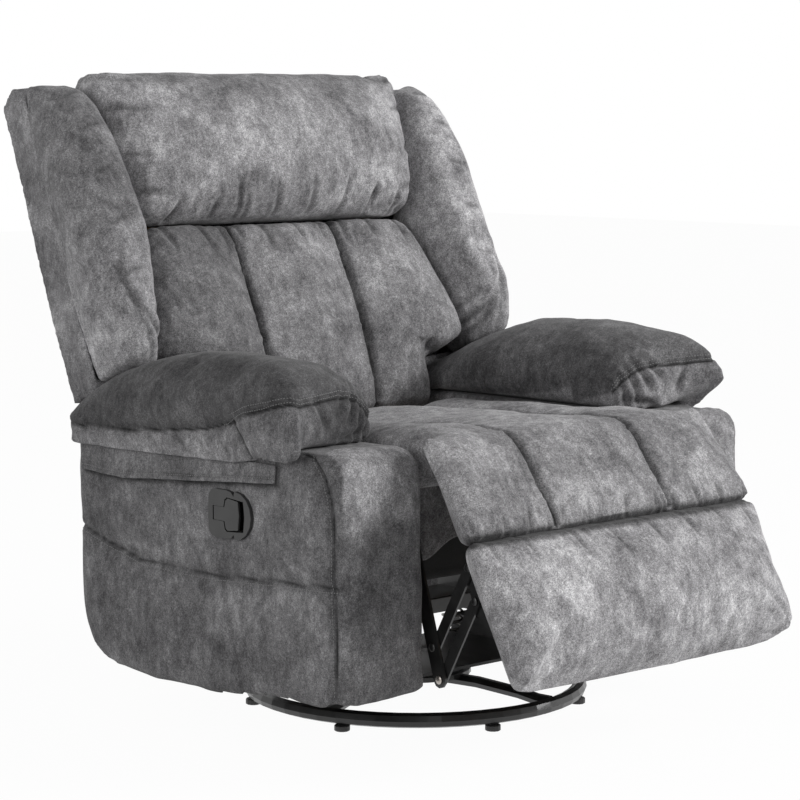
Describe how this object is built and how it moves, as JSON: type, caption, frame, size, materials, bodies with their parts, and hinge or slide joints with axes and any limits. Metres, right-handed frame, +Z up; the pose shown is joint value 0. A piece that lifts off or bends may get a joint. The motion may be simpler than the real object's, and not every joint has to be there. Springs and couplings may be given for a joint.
{
  "type": "swivel rocker recliner",
  "caption": "Upholstered swivel rocker recliner with padded arms, winged channel back, link-driven footrest, recessed pull handle and round steel floor ring.",
  "frame": {"origin": "on the floor, under the middle of the chair's box", "axes": "+Z up, the chair faces -Y, the sitter's right hand and the release handle are at -X"},
  "size_m": [0.956, 1.1249, 1.0553],
  "materials": {
    "grey_suede": "mottled mid-grey brushed suede cloth",
    "black_steel": "black painted steel, satin",
    "spring_steel": "bare spring steel",
    "dark_plastic": "dark grey moulded plastic, satin",
    "pine": "raw sawn softwood and board"
  },
  "bodies": {
    "base": {"base_ring": "black_steel", "base_spider": "black_steel", "floor_glide_1": "dark_plastic", "floor_glide_2": "dark_plastic", "floor_glide_3": "dark_plastic", "floor_glide_4": "dark_plastic", "floor_glide_5": "dark_plastic", "floor_glide_6": "dark_plastic", "floor_glide_7": "dark_plastic"},
    "swivel_top": {"rocker_spring_front_left": "spring_steel", "rocker_spring_front_right": "spring_steel", "rocker_spring_rear_left": "spring_steel", "rocker_spring_rear_right": "spring_steel", "swivel_bearing": "spring_steel", "swivel_plate": "black_steel"},
    "chassis": {"arm_cover_left": "grey_suede", "arm_cover_right": "grey_suede", "arm_flap_left": "grey_suede", "arm_flap_right": "grey_suede", "arm_frame_left": "pine", "arm_frame_right": "pine", "arm_pad_left": "grey_suede", "arm_pad_right": "grey_suede", "front_cross_tube": "black_steel", "handle_bezel": "dark_plastic", "mechanism_rail_left": "black_steel", "mechanism_rail_right": "black_steel", "rear_cross_tube": "black_steel", "rocker_cam_left": "pine", "rocker_cam_right": "pine"},
    "paddle": {"release_paddle": "dark_plastic"},
    "front_swing": {"front_swing_link_left": "black_steel", "front_swing_link_right": "black_steel"},
    "rear_swing": {"rear_swing_link_left": "black_steel", "rear_swing_link_right": "black_steel"},
    "seat": {"seat_cushion": "grey_suede", "seat_frame": "pine", "seat_side_plate_left": "black_steel", "seat_side_plate_right": "black_steel", "seat_spring_1": "spring_steel", "seat_spring_2": "spring_steel", "seat_spring_3": "spring_steel", "seat_spring_4": "spring_steel"},
    "back": {"back_channels": "grey_suede", "back_frame": "pine", "back_shell": "grey_suede", "back_wing_left": "grey_suede", "back_wing_right": "grey_suede", "headrest": "grey_suede"},
    "footrest": {"chaise_pad": "grey_suede", "footrest_board": "pine", "footrest_bracket_left": "black_steel", "footrest_bracket_right": "black_steel", "shin_pad": "grey_suede"},
    "seat_link": {"seat_link_left": "black_steel", "seat_link_right": "black_steel"},
    "front_foot_link": {"front_foot_link_left": "black_steel", "front_foot_link_right": "black_steel"},
    "rear_foot_link": {"rear_foot_link_left": "black_steel", "rear_foot_link_right": "black_steel"}
  },
  "joints": [
    {"name": "swivel", "type": "hinge", "parent": "base", "child": "swivel_top", "pos_m": [0, 0.00375, 0.0651], "axis": [0, 0, 1], "continuous": true},
    {"name": "rock", "type": "hinge", "parent": "swivel_top", "child": "chassis", "pos_m": [0, 0.00375, 0.1], "axis": [1, 0, 0], "range_deg": [-8, 7], "stiffness_Nm_per_rad": 1500, "deforming": ["rocker_spring_front_left", "rocker_spring_front_right", "rocker_spring_rear_left", "rocker_spring_rear_right"]},
    {"name": "handle_pull", "type": "hinge", "parent": "chassis", "child": "paddle", "pos_m": [-0.4585, -0.03175, 0.368], "axis": [0, 0, -1], "range_deg": [0, 35], "stiffness_Nm_per_rad": 0.25, "springref_deg": -17.19},
    {"name": "front_swing", "type": "hinge", "parent": "chassis", "child": "front_swing", "pos_m": [0, -0.08925, 0.16], "axis": [1, 0, 0], "range_deg": [-1, 17]},
    {"name": "rear_swing", "type": "hinge", "parent": "chassis", "child": "rear_swing", "pos_m": [0, 0.13075, 0.16], "axis": [1, 0, 0], "range_deg": [-1, 17]},
    {"name": "seat_glide", "type": "hinge", "parent": "front_swing", "child": "seat", "pos_m": [0, -0.07418, 0.26896], "axis": [1, 0, 0], "range_deg": [-17, 1]},
    {"name": "back_recline", "type": "hinge", "parent": "seat", "child": "back", "pos_m": [0, 0.26075, 0.34], "axis": [-1, 0, 0], "range_deg": [0, 35]},
    {"name": "footrest", "type": "hinge", "parent": "seat", "child": "footrest", "pos_m": [0, -0.33425, 0.5], "axis": [-1, 0, 0], "range_deg": [-24, 52]},
    {"name": "seat_link", "type": "hinge", "parent": "seat", "child": "seat_link", "pos_m": [0, -0.26265, 0.368], "axis": [-1, 0, 0], "range_deg": [-25, 53]},
    {"name": "front_foot_link", "type": "hinge", "parent": "seat_link", "child": "front_foot_link", "pos_m": [0, -0.33825, 0.123], "axis": [-1, 0, 0], "range_deg": [-53, 25]},
    {"name": "rear_foot_link", "type": "hinge", "parent": "seat_link", "child": "rear_foot_link", "pos_m": [0, -0.32321, 0.17173], "axis": [-1, 0, 0], "range_deg": [-53, 25]}
  ],
  "couplings": [
    {"joint": "front_swing", "follows": "back_recline", "ratio": 0.45},
    {"joint": "rear_swing", "follows": "back_recline", "ratio": 0.45},
    {"joint": "seat_glide", "follows": "back_recline", "ratio": -0.45},
    {"joint": "seat_link", "follows": "footrest", "ratio": 1},
    {"joint": "front_foot_link", "follows": "footrest", "ratio": -1},
    {"joint": "rear_foot_link", "follows": "footrest", "ratio": -1}
  ]
}
